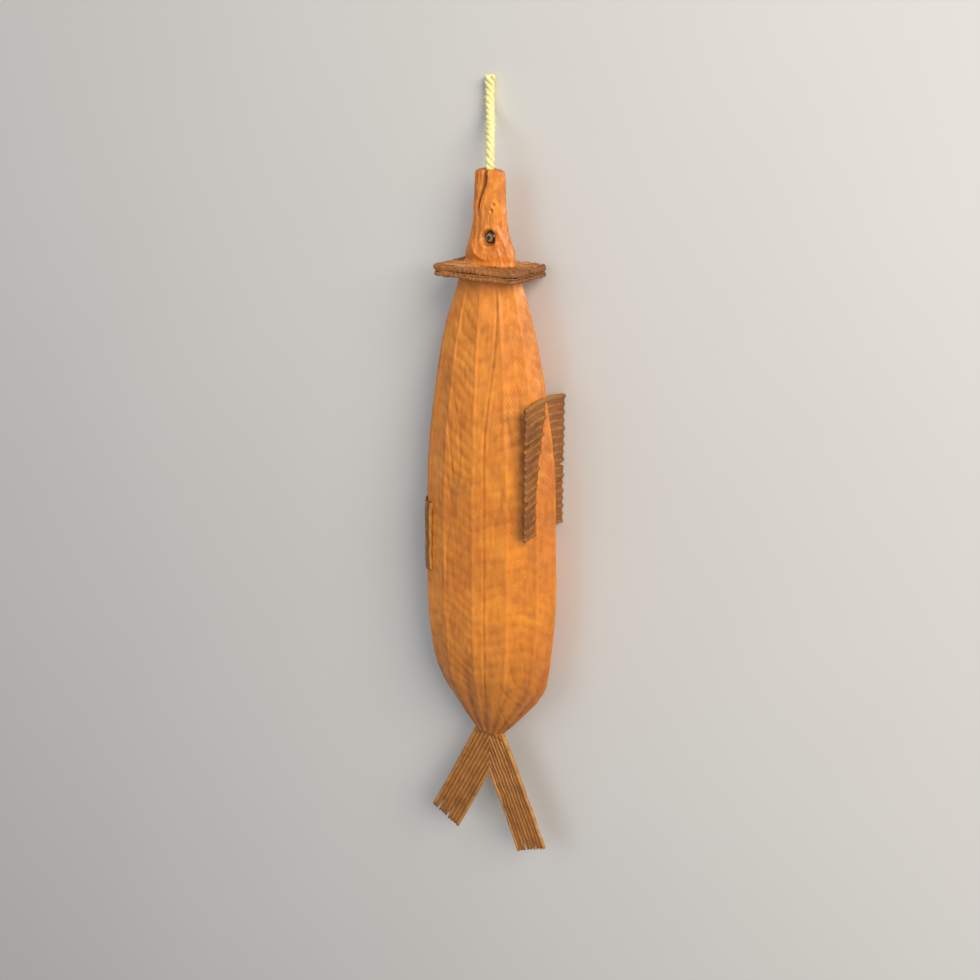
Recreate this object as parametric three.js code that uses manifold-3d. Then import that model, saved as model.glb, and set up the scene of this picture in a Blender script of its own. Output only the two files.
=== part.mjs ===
// Dried stockfish on a short cord: a whole air-dried fish that lies on its flank.
// Millimetres, +Z up. The head points along +Y, the back along +X, and the shown flank is up.
// The origin is the middle of the fish's outline, on the surface that it lies on.

import * as THREE from 'three';
import { mergeVertices } from 'three/addons/utils/BufferGeometryUtils.js';
import Module from 'manifold-3d';

// ---- Driving dimensions ----

const AXIS_HEIGHT = 26.5; // the fish's long axis above the surface
const GAP = 0.3; // between pieces that touch

// Half depth (back to belly) and half thickness (flank to flank) along the body, head first.
const BODY_STATIONS = [
  { y: 275.3, depth: 12.6, thick: 5.2 }, // lips
  { y: 242.3, depth: 14.3, thick: 5.9 }, // jaw joint
  { y: 203.9, depth: 25.4, thick: 10.7 }, // gill opening
  { y: 137.9, depth: 44.3, thick: 18.5 }, // shoulder
  { y: 37.6, depth: 58.0, thick: 23.6 }, // middle
  { y: -44.3, depth: 59.6, thick: 24.2 }, // fullest part
  { y: -111.0, depth: 54.2, thick: 22.4 }, // hind belly
  { y: -156.4, depth: 27.5, thick: 11.2 }, // tail stem
  { y: -174.6, depth: 10.8, thick: 4.2 }, // end of the flesh
];
const LOWER_FLANK = 1.16; // the flank it dried on is this much fuller, and pressed flat
const BODY_SIDES = 48;
const BODY_RINGS = 42;
const RING_EASE = 0.6; // how much closer the rings stand at both ends
const RIDGES = 12; // lengthwise ridges of shrunken flesh
const RIDGE_SHARE = 0.016; // their height as a share of the radius

const EYE = { x: 3.5, y: 228, radius: 5.2, depth: 2.2 };
const MOUTH = { x: -2.5, width: 1.7, depth: 1.0, end: 247 };

const COLLAR = {
  y: 203.9,
  halfDepth: 34.8,
  halfThick: 22.3,
  length: 8.8,
  squareness: 7, // exponent of its rounded rectangle
  sides: 64,
  scallops: 16,
};

const BACK_FIN = {
  x: 48.4, // middle of its thickness
  head: 114.7,
  tail: 15.7,
  halfWidth: 26.3,
  halfThick: 2.9,
  sweep: 2.8, // how far its long edges trail towards the tail
};

const BELLY_FIN = { head: 20.2, tail: -37.9, spread: 39, crown: 0.7, edge: 2.2 };

const TAIL = {
  forkY: -178.9, // where the middle lines of the two lobes cross
  reach: 100.4, // from there to a lobe's end
  root: 22, // from there up into the body
  halfWidth: 13.7,
  halfThick: 2.15,
  angle: 26, // of each lobe from the fish's axis, in degrees
  lift: 3.5, // how far the ends curl up
};

const FIN_RAYS = 6;
const FIN_ACROSS = 16; // facets across a fin's face
const FIN_ALONG = 12;

const CORD_RADIUS = 3.3;
const CORD_SIDES = 10;
const CORD_STEPS = 16;
// Out of the lips, down to the surface and along it.
const CORD_ROUTE = [
  [0, 275.6, 26.5],
  [0, 280.5, 26.5],
  [-0.1, 285.3, 26.3],
  [-0.9, 290.1, 25.2],
  [-2.4, 294.6, 23.0],
  [-4.6, 298.6, 19.8],
  [-7.2, 301.9, 16.1],
  [-10.0, 305.3, 12.1],
  [-12.4, 309.3, 8.6],
  [-14.2, 313.7, 6.0],
  [-15.4, 318.4, 4.3],
  [-15.9, 323.2, 3.6],
  [-16.0, 328.0, 3.5],
  [-16.0, 332.6, 3.5],
  [-16.0, 337.2, 3.5],
];

// ---- Materials ----

const FLESH = new THREE.MeshStandardMaterial({ color: 0xd98a34, roughness: 0.55, metalness: 0 });
const FIN = new THREE.MeshStandardMaterial({ color: 0x8f5a26, roughness: 0.6, metalness: 0 });
const STRAW = new THREE.MeshStandardMaterial({ color: 0xf2e6a0, roughness: 0.85, metalness: 0 });

// ---- Solids from closed sections ----

const wasm = await Module();
wasm.setup();

function toSolid(geometry) {
  const bare = geometry.clone();
  bare.deleteAttribute('normal');
  bare.deleteAttribute('uv');
  const merged = mergeVertices(bare, 1e-4);
  const mesh = new wasm.Mesh({
    numProp: 3,
    vertProperties: new Float32Array(merged.attributes.position.array),
    triVerts: new Uint32Array(merged.index.array),
  });
  return new wasm.Manifold(mesh);
}

function toGeometry(solid) {
  const mesh = solid.getMesh();
  const geometry = new THREE.BufferGeometry();
  geometry.setAttribute('position', new THREE.BufferAttribute(mesh.vertProperties, 3));
  geometry.setIndex(new THREE.BufferAttribute(mesh.triVerts, 1));
  geometry.computeVertexNormals();
  return geometry;
}

function signedVolume(points, faces) {
  const cross = new THREE.Vector3();
  let total = 0;
  for (const [a, b, c] of faces) {
    total += points[a].dot(cross.crossVectors(points[b], points[c]));
  }
  return total / 6;
}

// The triangles that fill a section, turning the way that its points run.
function capFaces(section) {
  const outline = section.map((p) => new THREE.Vector2(p.x, p.z));
  const turns = THREE.ShapeUtils.isClockWise(outline);
  const faces = THREE.ShapeUtils.triangulateShape(outline, []);
  return faces.map((face) => {
    const same = THREE.ShapeUtils.isClockWise(face.map((v) => outline[v])) === turns;
    return same ? face : face.toReversed();
  });
}

// Skins closed sections that follow one another along Y, and closes both ends.
function loft(sections) {
  const points = sections.flat();
  const count = sections[0].length;
  const faces = [];
  for (let i = 0; i + 1 < sections.length; i += 1) {
    for (let k = 0; k < count; k += 1) {
      const next = (k + 1) % count;
      const [a, b] = [i * count + k, i * count + next];
      faces.push([a, b, b + count], [a, b + count, a + count]);
    }
  }
  const lastStart = points.length - count;
  faces.push(...capFaces(sections[0]).map(([a, b, c]) => [c, b, a]));
  faces.push(...capFaces(sections.at(-1)).map((face) => face.map((v) => lastStart + v)));
  const outward = signedVolume(points, faces) > 0;
  const geometry = new THREE.BufferGeometry();
  geometry.setFromPoints(points);
  geometry.setIndex(faces.flatMap(([a, b, c]) => (outward ? [a, b, c] : [a, c, b])));
  geometry.computeVertexNormals();
  return geometry;
}

// ---- Body ----

// A value along the stations, on a cubic that keeps every station and never overshoots.
function along(stations, key, y) {
  const last = stations.length - 2;
  const i = Math.min(last, Math.max(0, stations.findIndex((s) => s.y <= y) - 1));
  const slope = (j) => {
    const [p, q] = [stations[j], stations[j + 1]];
    return (q[key] - p[key]) / (q.y - p.y);
  };
  const tangent = (j) => {
    if (j === 0 || j > last) {
      return slope(Math.min(j, last));
    }
    const [before, after] = [slope(j - 1), slope(j)];
    return before * after > 0 ? (2 * before * after) / (before + after) : 0;
  };
  const [p, q] = [stations[i], stations[i + 1]];
  const span = q.y - p.y;
  const t = (y - p.y) / span;
  const rise = (3 - 2 * t) * t * t;
  const swing = tangent(i) * t * (1 - t) ** 2 - tangent(i + 1) * t * t * (1 - t);
  return p[key] * (1 - rise) + q[key] * rise + swing * span;
}

// A point of the skin: angle 0 is the back's edge, 90 degrees the middle of the shown flank.
function skinPoint(y, angle, grow) {
  const ridge = 1 + RIDGE_SHARE * Math.cos(RIDGES * angle);
  const up = Math.sin(angle) >= 0 ? 1 : LOWER_FLANK;
  const x = (along(BODY_STATIONS, 'depth', y) * ridge + grow) * Math.cos(angle);
  const z = (along(BODY_STATIONS, 'thick', y) * ridge * up + grow) * Math.sin(angle);
  const eye = Math.hypot(x - EYE.x, y - EYE.y) / EYE.radius;
  let sunk = EYE.depth * Math.exp(-(eye ** 4));
  if (y > MOUTH.end) {
    sunk += MOUTH.depth * Math.exp(-(((x - MOUTH.x) / MOUTH.width) ** 2));
  }
  const middle = Math.abs(Math.sin(angle)) ** 0.5;
  return new THREE.Vector3(x, y, z - Math.sign(z) * sunk * middle);
}

function makeBody(grow) {
  const head = BODY_STATIONS[0].y;
  const tail = BODY_STATIONS.at(-1).y;
  const sections = [];
  for (let i = 0; i <= BODY_RINGS; i += 1) {
    const s = i / BODY_RINGS;
    const eased = s - (RING_EASE * Math.sin(2 * Math.PI * s)) / (2 * Math.PI);
    const y = head + (tail - head) * eased;
    const ring = [];
    for (let k = 0; k < BODY_SIDES; k += 1) {
      const point = skinPoint(y, (2 * Math.PI * k) / BODY_SIDES, grow);
      point.y += grow * Math.sign(0.5 - s) * (i === 0 || i === BODY_RINGS ? 1 : 0);
      point.z += AXIS_HEIGHT;
      point.z = grow > 0 ? point.z : Math.max(0, point.z);
      ring.push(point);
    }
    sections.push(ring);
  }
  return loft(sections);
}

// ---- Gill covers, dried standing out all round ----

function makeCollar() {
  const layers = [
    { at: -0.5, share: 0.94 },
    { at: -0.28, share: 0.99 },
    { at: 0.2, share: 1.0 },
    { at: 0.5, share: 0.95 },
  ];
  const power = 2 / COLLAR.squareness;
  const sections = layers.map(({ at, share }) => {
    const ring = [];
    for (let k = 0; k < COLLAR.sides; k += 1) {
      const angle = (2 * Math.PI * (k + 0.5)) / COLLAR.sides;
      const [c, s] = [Math.cos(angle), Math.sin(angle)];
      const scallop = share * (1 + 0.012 * Math.cos(COLLAR.scallops * angle));
      const x = COLLAR.halfDepth * Math.sign(c) * Math.abs(c) ** power * scallop;
      const z = COLLAR.halfThick * Math.sign(s) * Math.abs(s) ** power * scallop;
      ring.push(new THREE.Vector3(x, COLLAR.y + at * COLLAR.length, AXIS_HEIGHT + z));
    }
    return ring;
  });
  return loft(sections);
}

// ---- Fins ----

// A flat fin's closed section: across it, then through its thickness, with a ridge on each ray.
function finSection(halfWidth, halfThick) {
  const points = [];
  for (const side of [1, -1]) {
    for (let k = 0; k <= FIN_ACROSS; k += 1) {
      const u = side * (1 - (2 * k) / FIN_ACROSS);
      const ray = 1 + 0.1 * Math.cos(FIN_RAYS * Math.PI * u);
      const thin = 0.3 + 0.7 * Math.sqrt(1 - u ** 6);
      points.push({ across: u * halfWidth, through: side * halfThick * ray * thin, u });
    }
  }
  return points;
}

// The back fin has fallen open over the back's edge: one half lies to each side.
function makeBackFin() {
  const sections = [];
  for (let i = 0; i <= FIN_ALONG; i += 1) {
    const s = i / FIN_ALONG;
    const end = 0.9 + 0.1 * Math.sqrt(1 - (2 * s - 1) ** 8);
    const ring = finSection(BACK_FIN.halfWidth * (0.96 + 0.04 * end), BACK_FIN.halfThick * end);
    const y = THREE.MathUtils.lerp(BACK_FIN.head, BACK_FIN.tail, s);
    const place = ({ across, through, u }) =>
      new THREE.Vector3(BACK_FIN.x + through, y - BACK_FIN.sweep * u * u, AXIS_HEIGHT + across);
    sections.push(ring.map(place));
  }
  return loft(sections);
}

// The belly fin lies folded round the belly's edge.
function makeBellyFin() {
  const spread = THREE.MathUtils.degToRad(BELLY_FIN.spread);
  const sections = [];
  for (let i = 0; i <= FIN_ALONG; i += 1) {
    const s = i / FIN_ALONG;
    const y = THREE.MathUtils.lerp(BELLY_FIN.head, BELLY_FIN.tail, s);
    const ends = 0.45 + 0.55 * Math.sqrt(Math.sin(Math.PI * (0.06 + 0.88 * s)));
    const ring = [];
    for (const outer of [true, false]) {
      for (let k = 0; k <= FIN_ACROSS; k += 1) {
        const u = (outer ? 1 : -1) * (1 - (2 * k) / FIN_ACROSS);
        const rise = THREE.MathUtils.lerp(BELLY_FIN.crown, BELLY_FIN.edge, u * u) * ends;
        const point = skinPoint(y, Math.PI + u * spread, outer ? GAP + rise : GAP);
        point.z = Math.max(point.z + AXIS_HEIGHT, 0.2);
        ring.push(point);
      }
    }
    sections.push(ring);
  }
  return loft(sections);
}

// One lobe of the forked tail: side 1 on the back's side, -1 on the belly's.
function makeTailLobe(side) {
  const tilt = THREE.MathUtils.degToRad(TAIL.angle) * side;
  const fork = new THREE.Vector3(0, TAIL.forkY, AXIS_HEIGHT);
  const sections = [];
  for (let i = 0; i <= FIN_ALONG; i += 1) {
    const s = i / FIN_ALONG;
    const out = THREE.MathUtils.lerp(-TAIL.root, TAIL.reach, s);
    const ring = finSection(TAIL.halfWidth * (0.97 + 0.04 * s), TAIL.halfThick * (1.05 - 0.3 * s));
    const place = ({ across, through, u }) => {
      const ragged = s === 1 ? 1.2 * Math.cos(FIN_RAYS * Math.PI * u) - 1.2 : 0;
      const curl = TAIL.lift * Math.max(0, out / TAIL.reach) ** 2;
      const point = new THREE.Vector3(across, -out - ragged, through + curl);
      return point.applyAxisAngle(new THREE.Vector3(0, 0, 1), tilt).add(fork);
    };
    sections.push(ring.map(place));
  }
  return loft(sections);
}

// ---- Cord ----

function makeCord() {
  const section = new THREE.Shape();
  for (let k = 0; k < CORD_SIDES; k += 1) {
    const angle = (2 * Math.PI * k) / CORD_SIDES;
    const point = [CORD_RADIUS * Math.cos(angle), CORD_RADIUS * Math.sin(angle)];
    if (k === 0) {
      section.moveTo(...point);
    } else {
      section.lineTo(...point);
    }
  }
  const route = new THREE.CatmullRomCurve3(CORD_ROUTE.map((p) => new THREE.Vector3(...p)));
  return new THREE.ExtrudeGeometry(section, { steps: CORD_STEPS, extrudePath: route });
}

// ---- The fish ----

const fish = new THREE.Group();

function add(name, geometry, material) {
  const mesh = new THREE.Mesh(geometry, material.clone());
  mesh.name = name;
  fish.add(mesh);
}

const bodyWithGap = toSolid(makeBody(GAP));

function clearOfBody(geometry) {
  return toSolid(geometry).subtract(bodyWithGap);
}

// The two lobes meet on the fish's middle plane, and each keeps to its own side of it.
function oneSide(solid, side) {
  const size = 400;
  const half = new THREE.BoxGeometry(size, size, size);
  half.translate(side * (size / 2 + GAP / 2), TAIL.forkY, 0);
  return solid.intersect(toSolid(half));
}

add('body', makeBody(0), FLESH);
add('gill_collar', toGeometry(clearOfBody(makeCollar())), FIN);
add('back_fin', toGeometry(clearOfBody(makeBackFin())), FIN);
add('belly_fin', makeBellyFin(), FIN);
add('tail_lobe_back', toGeometry(oneSide(clearOfBody(makeTailLobe(1)), 1)), FIN);
add('tail_lobe_belly', toGeometry(oneSide(clearOfBody(makeTailLobe(-1)), -1)), FIN);
add('hanging_cord', makeCord(), STRAW);

export default fish;
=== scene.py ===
# %% [markdown]
# # A dried stockfish on its cord
#
# A whole fish that has hung in the wind until it was hard: amber flesh drawn into long ridges, gill
# covers that dried standing out all round the head, stiff brown fins, and a short end of straw twine
# that comes out of its lips. It lies on one flank, as a hanging thing does once it is taken down.
#
# The frame's solids say where everything is, and the pieces made here stand for them with the surface
# that the real fish has. Lengths are in millimetres until a mesh is made, because that is how a fish
# is measured. The head is towards +Y, the back towards +X, and the shown flank faces up.

# %% The frame
import math

import bmesh
import bpy
import numpy as np
from mathutils import Matrix, Vector


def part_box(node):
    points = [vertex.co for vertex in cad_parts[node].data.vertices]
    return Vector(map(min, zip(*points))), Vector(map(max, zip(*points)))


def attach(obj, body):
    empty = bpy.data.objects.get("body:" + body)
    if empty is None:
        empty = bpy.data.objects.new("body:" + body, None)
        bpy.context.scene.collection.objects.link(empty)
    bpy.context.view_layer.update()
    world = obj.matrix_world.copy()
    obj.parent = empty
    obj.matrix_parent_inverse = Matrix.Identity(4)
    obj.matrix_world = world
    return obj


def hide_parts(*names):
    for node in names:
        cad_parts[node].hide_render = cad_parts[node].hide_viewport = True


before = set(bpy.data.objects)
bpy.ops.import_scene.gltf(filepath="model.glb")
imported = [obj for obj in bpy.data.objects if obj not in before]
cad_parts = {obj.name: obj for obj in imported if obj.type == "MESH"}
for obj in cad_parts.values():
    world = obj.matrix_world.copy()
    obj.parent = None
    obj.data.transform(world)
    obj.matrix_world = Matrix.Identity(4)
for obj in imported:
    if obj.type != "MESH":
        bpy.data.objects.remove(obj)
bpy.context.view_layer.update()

MM = 0.001  # metres in a millimetre
TAU = 2 * math.pi

fin_low, fin_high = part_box("back_fin")
AXIS_Z = (fin_low[2] + fin_high[2]) / 2 / MM
print(f"solids: {sorted(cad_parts)}; the fish's axis is {AXIS_Z:.1f} mm up")

# %% [markdown]
# ## Small helpers
#
# A few functions turn a hex colour to linear, add a node, begin a material and dress it. A few more
# make closed meshes from arrays of points. A closed mesh's faces are turned outwards at the end,
# since a mirrored or wrapped shape can come out inside out.

# %% Colours and nodes


def linear(hex_colour):
    """An sRGB hex colour as linear red, green, blue and an alpha of one."""
    parts = [int(hex_colour[i:i + 2], 16) / 255 for i in (1, 3, 5)]
    return (*[c / 12.92 if c <= 0.04045 else ((c + 0.055) / 1.055) ** 2.4 for c in parts], 1.0)


def socket(sockets, key):
    """A node's socket by its place, or by its name among those in use."""
    if isinstance(key, int):
        return sockets[key]
    return next(s for s in sockets if s.enabled and s.name == key)


def feed(tree, node, inputs):
    """Sets a node's inputs, each to a value, a hex colour, a socket, or a node's first output."""
    for key, value in inputs.items():
        if isinstance(value, bpy.types.Node):
            value = next(s for s in value.outputs if s.enabled)
        if isinstance(value, bpy.types.NodeSocket):
            tree.links.new(value, socket(node.inputs, key))
        else:
            socket(node.inputs, key).default_value = linear(value) if isinstance(value, str) else value


def add(tree, kind, inputs=None, **settings):
    """Adds a node, of a shader's kind unless its name says otherwise, and feeds its inputs."""
    node = tree.nodes.new(kind if "Node" in kind else "ShaderNode" + kind)
    for name, value in settings.items():
        setattr(node, name, value)
    feed(tree, node, inputs or {})
    return node


def new_material(name, reads, roughness, ior=1.5, **constants):
    """A material, its tree and shader, the place on the object, and the point values that it reads."""
    material = bpy.data.materials.new(name)
    material.use_nodes = True
    tree = material.node_tree
    shader = tree.nodes["Principled BSDF"]
    shader.inputs["Roughness"].default_value = roughness
    shader.inputs["IOR"].default_value = ior
    for key, value in constants.items():
        shader.inputs[key.replace("_", " ").title()].default_value = value
    place = add(tree, "TexCoord").outputs["Object"]
    values = [add(tree, "Attribute", attribute_name=key).outputs["Fac"] for key in reads]
    return material, tree, shader, place, *values


def dress(tree, shader, colour, stains_and_shade, bumps=(), gloss=None):
    """Lays layers of colour (where, how strongly, colour), stains and painted shade alike, on a colour, and
    bumps (height, distance, strength, sunk).
    """
    for where, strength, layer_colour in stains_and_shade:
        share = add(tree, "Math", {0: where, 1: strength}, operation="MULTIPLY")
        colour = add(tree, "Mix", {"Factor": share, "A": colour, "B": layer_colour}, data_type="RGBA")
    look, relief = {"Base Color": colour}, {}
    for height, distance, strength, sunk in bumps:
        bump = {"Height": height, "Distance": distance, "Strength": strength, **relief}
        relief = {"Normal": add(tree, "Bump", bump, invert=sunk)}
    if gloss:
        look["Roughness"] = add(tree, "MapRange", gloss)
    feed(tree, shader, {**look, **relief})
    return colour


# %% Meshes
# A row of a point array holds x, y and z in millimetres, and then any values that a material reads.


def grid_faces(rows, columns, rows_close=False):
    """Faces of a grid whose columns close on themselves, and whose rows may."""
    start = np.arange(rows if rows_close else rows - 1)[:, None] * columns
    column = np.arange(columns)[None, :]
    after = (column + 1) % columns
    below = (start + columns) % (rows * columns)
    corners = [start + column, start + after, below + after, below + column]
    return np.stack(corners, -1).reshape(-1, 4).tolist()


def capped(rows):
    """Points and faces of a skin over rows of points (rows, columns, values), closed at both ends."""
    count, columns = rows.shape[:2]
    ends = np.stack([rows[0].mean(0), rows[-1].mean(0)])
    faces = grid_faces(count, columns)
    for k in range(columns):
        after = (k + 1) % columns
        faces.append((after, k, count * columns))
        faces.append(((count - 1) * columns + k, (count - 1) * columns + after, count * columns + 1))
    return np.concatenate([rows.reshape(-1, rows.shape[-1]), ends]), faces


def two_faced(front, back):
    """Points and faces of a thin sheet from two grids of points (n, m, values), closed all round."""
    n, m = front.shape[:2]
    at = np.arange(n * m).reshape(n, m)
    quads = np.stack([at[:-1, :-1], at[:-1, 1:], at[1:, 1:], at[1:, :-1]], -1).reshape(-1, 4)
    rim = np.concatenate([at[0, :-1], at[:-1, -1], at[-1, :0:-1], at[:0:-1, 0]])
    after = np.roll(rim, -1)
    stitches = np.stack([after, rim, rim + n * m, after + n * m], -1)
    faces = quads.tolist() + (quads[:, ::-1] + n * m).tolist() + stitches.tolist()
    return np.concatenate([front.reshape(n * m, -1), back.reshape(n * m, -1)]), faces


def merged(shapes):
    """Several closed shapes as one list of points and one of faces."""
    points, faces, used = [], [], 0
    for some_points, some_faces in shapes:
        points.append(some_points)
        faces += [[used + v for v in face] for face in some_faces]
        used += len(some_points)
    return np.concatenate(points), faces


REST_GAP = 0.02  # nothing reaches lower than this above the floor


def mesh_piece(name, shape, material, values=()):
    """A smooth mesh object from points and faces, with its faces turned outwards."""
    points, faces = shape
    points[:, 2] = np.maximum(points[:, 2], REST_GAP)
    mesh = bpy.data.meshes.new(name)
    mesh.from_pydata((points[:, :3] * MM).tolist(), [], faces)
    for column, key in enumerate(values, 3):
        layer = mesh.attributes.new(key, "FLOAT", "POINT")
        layer.data.foreach_set("value", np.ascontiguousarray(points[:, column], np.float32))
    outward = bmesh.new()
    outward.from_mesh(mesh)
    bmesh.ops.recalc_face_normals(outward, faces=outward.faces)
    outward.to_mesh(mesh)
    outward.free()
    mesh.shade_smooth()
    mesh.materials.append(material)
    piece = bpy.data.objects.new(name, mesh)
    bpy.context.scene.collection.objects.link(piece)
    print(f"{name}: {len(mesh.vertices)} points, {len(mesh.loop_triangles)} triangles")
    return piece


# %% Bumps and blends


def waves(points, wavelength, seed, count=26):
    """Smooth unpatterned bumps, mostly from -1 to 1: plane waves in every direction."""
    draw = np.random.default_rng(seed)
    direction = draw.normal(size=(count, points.shape[-1]))
    direction /= np.linalg.norm(direction, axis=1)[:, None]
    rate = TAU / wavelength * draw.uniform(0.6, 1.5, count)
    start = draw.uniform(0, TAU, count)
    return np.sin(points @ (direction * rate[:, None]).T + start).sum(-1) / math.sqrt(count)


def ease(low, high, x):
    """0 below low, 1 above high, and smooth between them."""
    t = np.clip((x - low) / (high - low), 0, 1)
    return t * t * (3 - 2 * t)


def bell(distance, width):
    """1 on a line and 0 well away from it."""
    return np.exp(-((distance / width) ** 2))


def pull(points, amounts):
    """Moves a closed grid of points along its outward normals."""
    around = np.roll(points, -1, 1) - np.roll(points, 1, 1)
    normal = np.cross(around, np.gradient(points, axis=0))
    normal /= np.linalg.norm(normal, axis=-1, keepdims=True) + 1e-9
    outward = points - points.mean(1, keepdims=True)
    facing = np.sign((normal * outward).sum(-1).mean())
    return points + normal * facing * amounts[..., None]


# %% [markdown]
# ## Camera, floor and light
#
# The fish is looked at as it was when it hung: from the back's side, a little from the head's end.
# It now lies down, so the same view looks down on it. The camera is turned so that the fish's axis
# runs up the frame. A broad key light comes from the head's end and the back's side, where the ridges
# are brightest, and a pale sky fills the shadows.

# %% Camera
LOOK_AT = Vector((0, 0.0355, AXIS_Z * MM))
CAMERA_RIGHT = Vector((0.8223, 0.0, -0.5691))
CAMERA_BACK = Vector((0.5361, 0.3359, 0.7745))
CAMERA_DISTANCE = 0.986
LENS_LENGTH = 47.36
SENSOR_WIDTH = 36

lens = bpy.data.cameras.new("camera")
lens.lens = LENS_LENGTH
lens.sensor_width = SENSOR_WIDTH
camera = bpy.data.objects.new("camera", lens)
scene = bpy.context.scene
scene.collection.objects.link(camera)
axes = Matrix((CAMERA_RIGHT, CAMERA_BACK.cross(CAMERA_RIGHT), CAMERA_BACK)).transposed().to_4x4()
camera.matrix_world = Matrix.Translation(LOOK_AT + CAMERA_BACK * CAMERA_DISTANCE) @ axes
scene.camera = camera
looks_down = math.degrees(math.asin(CAMERA_BACK.z))
print(f"the camera is {CAMERA_DISTANCE} m away and looks down by {looks_down:.0f} degrees")

# %% Light
scene.view_settings.view_transform = "Standard"

SKY = {"Color": "#E8ECF2", "Strength": 0.36}
SOFTBOXES = {  # direction from the fish, distance and size in metres, power in watts, colour
    "key_light": ((0.95, 0.6, 0.62), 2.4, 1.3, 64, "#FFF8EE"),
    "fill_light": ((-0.35, 0.3, 1.0), 2.6, 2.2, 12, "#F4F6FF"),
}
for name, (direction, distance, size, watts, colour) in SOFTBOXES.items():
    light = bpy.data.lights.new(name, "AREA")
    light.size = size
    light.energy = watts
    light.color = linear(colour)[:3]
    softbox = bpy.data.objects.new(name, light)
    away = Vector(direction).normalized()
    softbox.location = LOOK_AT + away * distance
    softbox.rotation_euler = away.to_track_quat("Z", "Y").to_euler()
    scene.collection.objects.link(softbox)

world = bpy.data.worlds.new("studio")
world.use_nodes = True
feed(world.node_tree, world.node_tree.nodes["Background"], SKY)
scene.world = world
print(f"{len(SOFTBOXES)} softboxes and a pale sky")

# %% Floor
# Matt emulsion on a board: hardly any gloss, and a very faint cloudiness from the roller.
FLOOR_SIZE = 12
floor_paint, tree, shader, place = new_material("matt_floor_paint", (), roughness=0.75)
cloudy = add(tree, "TexNoise", {"Vector": place, "Scale": 3.0, "Detail": 3.0})
dress(tree, shader, "#D3D1CC", [(cloudy, 1.0, "#DAD8D4")])
bpy.ops.mesh.primitive_plane_add(size=FLOOR_SIZE)
floor = bpy.context.object
floor.name = "floor"
floor.data.materials.append(floor_paint)
print(f"a pale floor, {FLOOR_SIZE} m wide")

# %% [markdown]
# ## The twine
#
# Real twine is three loose bundles of straw-coloured fibre laid round each other, and that lay is what
# tells it from a rubber tube. The route leaves the lips straight, sinks to the floor in one soft
# S-bend and lies there. Each strand is a helix round that route, its own surface is twisted the other
# way as the yarn is, and the three strands are one mesh.

# %% Route of the cord, in metres
CORD_DIAMETER = 0.0066
CORD_EXIT = (0, 0.2756, 0.0265)
CORD_INSIDE = (0, 0.2720, 0.0265)
CORD_ROUTE = [
    CORD_EXIT, (0, 0.2805, 0.0265),
    (-0.0001, 0.2853, 0.0263), (-0.0009, 0.2901, 0.0252), (-0.0024, 0.2946, 0.0230),
    (-0.0046, 0.2986, 0.0198), (-0.0072, 0.3019, 0.0161), (-0.0100, 0.3053, 0.0121),
    (-0.0124, 0.3093, 0.0086), (-0.0142, 0.3137, 0.0060), (-0.0154, 0.3184, 0.0043),
    (-0.0159, 0.3232, 0.0036), (-0.0160, 0.3280, 0.0035), (-0.0160, 0.3326, 0.0035),
    (-0.0160, 0.3372, 0.0035),
]


def smooth_through(knots, per_span):
    """Points of a smooth curve through the knots, per_span to each stretch."""
    p = np.asarray(knots, float)
    p = np.concatenate([2 * p[:1] - p[1:2], p, 2 * p[-1:] - p[-2:-1]])
    t = np.linspace(0, 1, per_span, endpoint=False)[:, None]
    found = []
    for a, b, c, d in zip(p, p[1:], p[2:], p[3:]):
        bend = 2 * a - 5 * b + 4 * c - d + t * (3 * (b - c) + d - a)
        found.append(b + 0.5 * t * (c - a + t * bend))
    return np.concatenate(found + [p[-2:-1]])


route = smooth_through([CORD_INSIDE] + CORD_ROUTE, 12) / MM
steps = np.linalg.norm(np.diff(route, axis=0), axis=1)
along_route = np.append(0, np.cumsum(steps))
cord_length = float(along_route[-1])
print(f"the cord is {cord_length:.1f} mm long and {CORD_DIAMETER / MM:.1f} mm thick")

# %% The finish of the twine
# Cereal straw or sisal, spun and laid: matt fibre with a faint silky line along each yarn. Single
# fibres are too fine to show, so their streaks are drawn half a millimetre wide.
TWINE_VALUES = ("lay", "run")  # how far round the strand's yarns and how far along, on each point
straw_twine, tree, shader, _, lay, run = new_material(
    "laid_straw_twine", TWINE_VALUES, roughness=0.82, ior=1.53, sheen_weight=0.12, sheen_roughness=0.45
)
fibre_place = add(tree, "CombineXYZ", {"X": lay, "Y": run})
fibre_size = add(tree, "Mapping", {"Vector": fibre_place, "Scale": (1.6, 0.10, 1)})
fibres = add(tree, "TexNoise", {"Vector": fibre_size, "Scale": 1.0, "Detail": 4.0})
patches = add(tree, "TexNoise", {"Vector": fibre_place, "Scale": 0.22, "Detail": 2.0})
shadow = add(tree, "MapRange", {"Value": fibres, "From Min": 0.62, "From Max": 0.38})
straw = [(patches, 1.0, "#FFFCCC"), (shadow, 1.0, "#E6D686")]
dress(tree, shader, "#FAF4AC", straw, [(fibres, 0.0003, 0.8, False)])
print(f"{straw_twine.name}: {len(tree.nodes)} nodes")

# %% Three strands laid round the route
STRANDS = 3
STRAND_RADIUS = 1.53
STRAND_SIDES = 36
LAY_RADIUS = CORD_DIAMETER / MM / 2 - STRAND_RADIUS
LAY_PITCH = 15.0
YARNS = 9
YARN_PITCH = 9.0
YARN_RELIEF = 0.08  # as a share of the strand's radius
END_SPREAD = 0.9  # how far the strands part at the cut end
END_SPREAD_LENGTH = 5.0
END_ROUNDING = 1.2

heading = np.gradient(route, axis=0)
heading /= np.linalg.norm(heading, axis=1)[:, None]
sideways = np.cross(heading, (0.0, 0.0, 1.0))
sideways /= np.linalg.norm(sideways, axis=1)[:, None]
upward = np.cross(sideways, heading)
to_end = cord_length - along_route
around = TAU * np.arange(STRAND_SIDES) / STRAND_SIDES


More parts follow.
